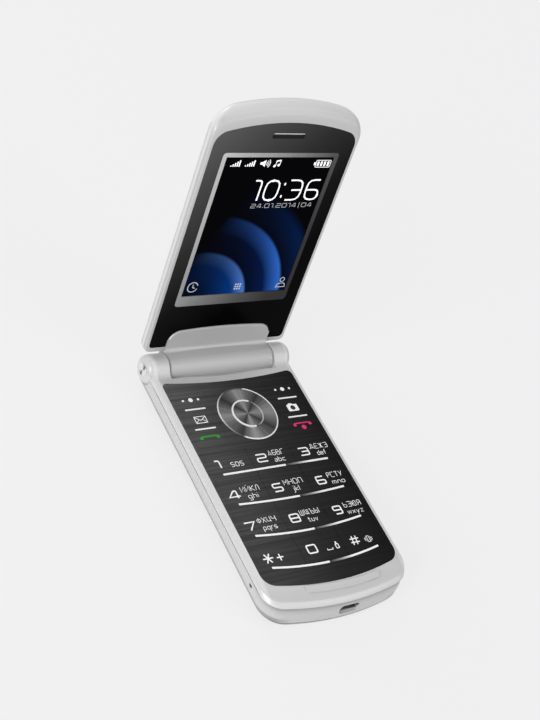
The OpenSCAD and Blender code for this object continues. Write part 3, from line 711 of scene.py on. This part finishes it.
def hash_legend(white):
    """Hash, and a silent phone between the waves of its shaking."""
    hash_sign = [stroke([(x, -74.95), (x + 0.4, -71.95)], 0.36) for x in (11.4, 12.75)]
    hash_sign += [bar(10.75, y, 13.9, y + 0.36) for y in (-74.3, -73.05)]
    x, y = SILENT_AT
    silent = [stroke([(x + side * out, y - half), (x + side * out, y + half)], 0.14)
              for side in (-1, 1) for out, half in ((0.9, 0.8), (1.3, 0.55))]
    silent.append(stroke(corners(x - 0.42, -74.9, x + 0.42, -72.9), 0.18, closed=True))
    ink("legend_hash", "key_hash", white, on_base, *hash_sign, *silent)


def envelope(x, y, width, height):
    """A letter about its middle: the case, the open flap, and the two folds below it."""
    right, high = width / 2, height / 2
    case = stroke(corners(x - right, y - high, x + right, y + high), 0.24, closed=True)
    flap = stroke([(x - right + 0.2, y + high - 0.25), (x, y - 0.25), (x + right - 0.2, y + high - 0.25)],
                  0.22)
    folds = [stroke([(x + side * (right - 0.2), y - high + 0.25), (x + side * 0.65, y + 0.05)], 0.18)
             for side in (-1, 1)]
    return [case, flap, *folds]


def handset(x, y, length):
    """A telephone handset lying flat: a bowed bar with an ear piece at each end."""
    half = length / 2
    back = [(x - half + 0.3, y - 0.45), (x - half + 0.45, y + 0.2), (x - half + 1.4, y + 0.38),
            (x + half - 1.4, y + 0.38), (x + half - 0.45, y + 0.2), (x + half - 0.3, y - 0.45)]
    ear = ((0.02, -0.55), (0.25, -0.15), (1.2, 0.1), (1.3, -0.25), (0.95, -0.75))
    ends = [polygon(*[(x - side * (half - inwards), y + up) for inwards, up in ear]) for side in (-1, 1)]
    return [stroke(rounded(back, 0.4), 0.44), *ends]


def side_legends(white, green, red, dark):
    """Dots of the soft keys, the envelope, the camera, and the two handsets."""
    for side, key in ((-1, "soft_key_left"), (1, "soft_key_right")):
        dots = [disc(side * SIDE_X + shift, DOTS_Y, r) for shift, r in ((-2.7, 0.4), (0, 0.75), (2.7, 0.4))]
        ink("legend_" + key, key, white, on_base, *dots)
    ink("legend_message", "message_key", white, on_base, *envelope(-SIDE_X, SIGN_Y, 3.9, 2.45))
    x, y = CAMERA_SIGN_X, SIGN_Y
    case = polygon(*rounded(corners(x - 2, y - 1.35, x + 2, y + 1.35), 0.4, True))
    hood = polygon((x - 1.4, y + 1.25), (x + 0.55, y + 1.25), (x + 0.25, y + 1.75), (x - 1.1, y + 1.75))
    ink("legend_camera", "camera_key", white, on_base, case, hood)
    ink("legend_camera_lens", "camera_key", dark, on_base, disc(x, y, 0.92), layer=2)
    ink("legend_call", "call_key", green, on_base, *handset(-SIDE_X, CALL_Y, HANDSET_LENGTH))
    ink("legend_end", "end_key", red, on_base, *handset(*END_AT, HANDSET_LENGTH), disc(17.3, -30.8, 0.85))


# Signs on the screen, in millimetres

# Signal bars: the left of each group, their foot, the first one's top, and steps and widths
BARS_LEFT = (-16.9, -11.9)
BARS_FOOT = 71.1
FIRST_TOP = 71.45
BAR_STEP = 0.7
BAR_RISE = 0.42
BAR_WIDTH = 0.42
# Steps between the bars of the battery, and between the dots of the grid
CHARGE_STEP = 1.22
GRID_STEP = 0.85
# Height of a grid row and width of a line, of the time and of the date, and where they stand
TIME_ROW = 0.86
TIME_LINE = 0.52
TIME_FOOT = 59.1
DATE_ROW = 0.17
DATE_LINE = 0.14
DATE_FOOT = 56.7


def status_signs(light):
    """Two groups of signal bars, a loudspeaker, a note and a battery along the top."""
    bars = [bar(left + BAR_STEP * i, BARS_FOOT, left + BAR_STEP * i + BAR_WIDTH, FIRST_TOP + BAR_RISE * i)
            for left in BARS_LEFT for i in range(5)]
    horn = polygon((-6.8, 71.75), (-6.1, 71.75), (-4.95, 70.95), (-4.95, 73.25), (-6.1, 72.5), (-6.8, 72.5))
    waves = [stroke(circle(-5.2, 72.1, r, -42, 42, 8), 0.2) for r in (0.8, 1.35, 1.9)]
    note = [disc(-1.5, 71.2, 0.42), disc(-0.1, 71.5, 0.42), bar(-1.28, 71.2, -1.05, 73.0),
            bar(0.12, 71.5, 0.35, 73.3)]
    beam = polygon((-1.28, 72.6), (0.35, 72.9), (0.35, 73.35), (-1.28, 73.05))
    case = stroke(rounded(corners(13.3, 70.75, 18.7, 73.1), 0.4, True), 0.2, closed=True)
    charge = [bar(13.8 + CHARGE_STEP * i, 71.15, 14.5 + CHARGE_STEP * i, 72.7) for i in range(4)]
    knob = bar(12.6, 71.45, 13.15, 72.4)
    ink("status_signs", "lid", light, on_screen, *bars, horn, *waves, *note, beam, case, *charge, knob)


def time_signs(light, dim):
    """The time, and under it the date and a number after an upright line."""
    time = lettering("10:36", -6.4, 18.3, TIME_FOOT, TIME_ROW, TIME_LINE, corner=3.4)
    ink("time_signs", "lid", light, on_screen, *time)
    date = lettering("24.01.2014", -5.0, 11.6, DATE_FOOT, DATE_ROW, DATE_LINE)
    number = lettering("04", 13.5, 17.4, DATE_FOOT, DATE_ROW, DATE_LINE)
    ink("date_signs", "lid", dim, on_screen, *date, bar(12.5, 56.4, 12.62, 58.5), *number)


def menu_signs(dim):
    """A clock, a grid of dots and a person along the bottom."""
    ring = stroke(circle(-16.0, 28.6, 1.75, 20, 340), 0.3)
    hands = stroke([(-16.0, 29.6), (-16.0, 28.5), (-15.2, 28.2)], 0.3)
    steps = [(GRID_STEP * i, GRID_STEP * j) for i in range(3) for j in range(3)]
    grid = [bar(-0.6 + x, 26.7 + y, -0.05 + x, 27.25 + y) for x, y in steps]
    head = stroke(circle(17.0, 29.4, 0.8)[:-1], 0.26, closed=True)
    shoulders = rounded([(15.3, 26.6), (15.7, 28.0), (18.3, 28.0), (18.7, 26.6)], 0.7, True)
    ink("menu_signs", "lid", dim, on_screen, ring, hands, *grid, head, stroke(shoulders, 0.26, closed=True))


# Floor, light and camera

# Level of the background, and of the floor's own glow about the object, where part of it is lit and shaded
FLOOR_LEVEL = 0.865
FLOOR_GLOW = 0.925
SHADOW_SHARE = 0.2
SHADOW_REACH = 0.4
FLOOR_COLOR = (0.8, 0.8, 0.8, 1)
# Half the floor's width, and how far it lies below the object
FLOOR_HALF = 6.0
FLOOR_DROP = 0.2 * MM
# Strength of the light from all round
WORLD_STRENGTH = 0.40
# Each lamp: its name, its place and aim in metres, its size in metres and its power in watts
LAMPS = (
    ("key", (-0.8, -0.25, 0.35), (0, 0, 0.03), 0.5, 4.5),
    ("fill", (0.5, -0.5, 0.6), (0, 0, 0.03), 0.7, 1.6),
    ("back", (-0.1, 0.9, 0.6), (0, 0, 0.05), 0.6, 2.6),
)


def seen_rays(tree):
    """1 for the rays that show the background: those of the camera, of gloss and of glass."""
    path = tree.nodes.new("ShaderNodeLightPath").outputs
    total = path["Is Camera Ray"]
    for kind in ("Is Glossy Ray", "Is Transmission Ray"):
        node = tree.nodes.new("ShaderNodeMath")
        node.operation = "MAXIMUM"
        tree.links.new(total, node.inputs[0])
        tree.links.new(path[kind], node.inputs[1])
        total = node.outputs[0]
    return total


def mix_shaders(tree, factor, one, two):
    node = tree.nodes.new("ShaderNodeMixShader")
    for socket, source in zip(node.inputs, (factor, one, two)):
        tree.links.new(source, socket)
    return node.outputs[0]


def floor():
    """A wide pale floor that glows evenly and takes a soft shadow about the object."""
    square = [(x, y, 0) for x, y in corners(-FLOOR_HALF, -FLOOR_HALF, FLOOR_HALF, FLOOR_HALF)]
    mesh = bpy.data.meshes.new("floor")
    mesh.from_pydata(square, [], [(0, 1, 2, 3)])
    plane = bpy.data.objects.new("floor", mesh)
    plane.location.z = -FLOOR_DROP
    bpy.context.scene.collection.objects.link(plane)
    look = bpy.data.materials.new("floor")
    look.use_nodes = True
    tree = look.node_tree
    shader = tree.nodes["Principled BSDF"]
    shader.inputs["Base Color"].default_value = FLOOR_COLOR
    shader.inputs["Roughness"].default_value = 0.9
    even = tree.nodes.new("ShaderNodeEmission")
    away = distance(look, ORIGIN, SHADOW_REACH)
    tree.links.new(ramp(look, away, (0.3, FLOOR_GLOW), (1.0, FLOOR_LEVEL)), even.inputs["Color"])
    share = ramp(look, away, (0.3, SHADOW_SHARE), (1.0, 0.0))
    shown = mix_shaders(tree, share, even.outputs[0], shader.outputs[0])
    whole = mix_shaders(tree, seen_rays(tree), shader.outputs[0], shown)
    tree.links.new(whole, tree.nodes["Material Output"].inputs["Surface"])
    mesh.materials.append(look)


def world_light():
    """Even light from all round, with the floor's level where the background shows."""
    world = bpy.data.worlds.new("studio")
    bpy.context.scene.world = world
    world.use_nodes = True
    tree = world.node_tree
    lamp = tree.nodes["Background"]
    shown = tree.nodes.new("ShaderNodeBackground")
    for node, strength in ((lamp, WORLD_STRENGTH), (shown, FLOOR_LEVEL)):
        node.inputs["Color"].default_value = WHITE
        node.inputs["Strength"].default_value = strength
    whole = mix_shaders(tree, seen_rays(tree), lamp.outputs[0], shown.outputs[0])
    tree.links.new(whole, tree.nodes["World Output"].inputs["Surface"])


def area_light(name, at, aim, size, power):
    data = bpy.data.lights.new(name, "AREA")
    data.shape = "DISK"
    data.size = size
    data.energy = power
    lamp = bpy.data.objects.new(name, data)
    lamp.location = at
    lamp.rotation_euler = (Vector(aim) - Vector(at)).to_track_quat("-Z", "Y").to_euler()
    bpy.context.scene.collection.objects.link(lamp)


def camera():
    data = bpy.data.cameras.new("camera")
    data.lens = CAMERA_LENS
    data.clip_start = CAMERA_NEAR
    made = bpy.data.objects.new("camera", data)
    turn = (Matrix.Rotation(math.radians(-CAMERA_HEADING), 4, "Z")
            @ Matrix.Rotation(math.radians(90 - CAMERA_PITCH), 4, "X")
            @ Matrix.Rotation(math.radians(-CAMERA_ROLL), 4, "Z"))
    made.matrix_world = Matrix.Translation(CAMERA_AT) @ turn
    bpy.context.scene.collection.objects.link(made)
    bpy.context.scene.camera = made


dress_outside()
dress_inside()
white_ink = print_ink("white_ink", (0.9, 0.9, 0.9), light=0.3)
green_ink = print_ink("green_ink", (0.03, 0.36, 0.03), light=0.15)
red_ink = print_ink("red_ink", (0.80, 0.03, 0.18), light=0.15)
dark_ink = print_ink("dark_ink", (0.02, 0.02, 0.02))
lit_sign = print_ink("lit_sign", (0.85, 0.85, 0.85), light=0.65)
dim_sign = print_ink("dim_sign", (0.4, 0.4, 0.4), light=0.6)
number_legends(white_ink)
star_legend(white_ink)
zero_legend(white_ink)
hash_legend(white_ink)
side_legends(white_ink, green_ink, red_ink, dark_ink)
status_signs(lit_sign)
time_signs(lit_sign, dim_sign)
menu_signs(dim_sign)
floor()
world_light()
for lamp in LAMPS:
    area_light(*lamp)
camera()
bpy.context.scene.view_settings.view_transform = "Standard"
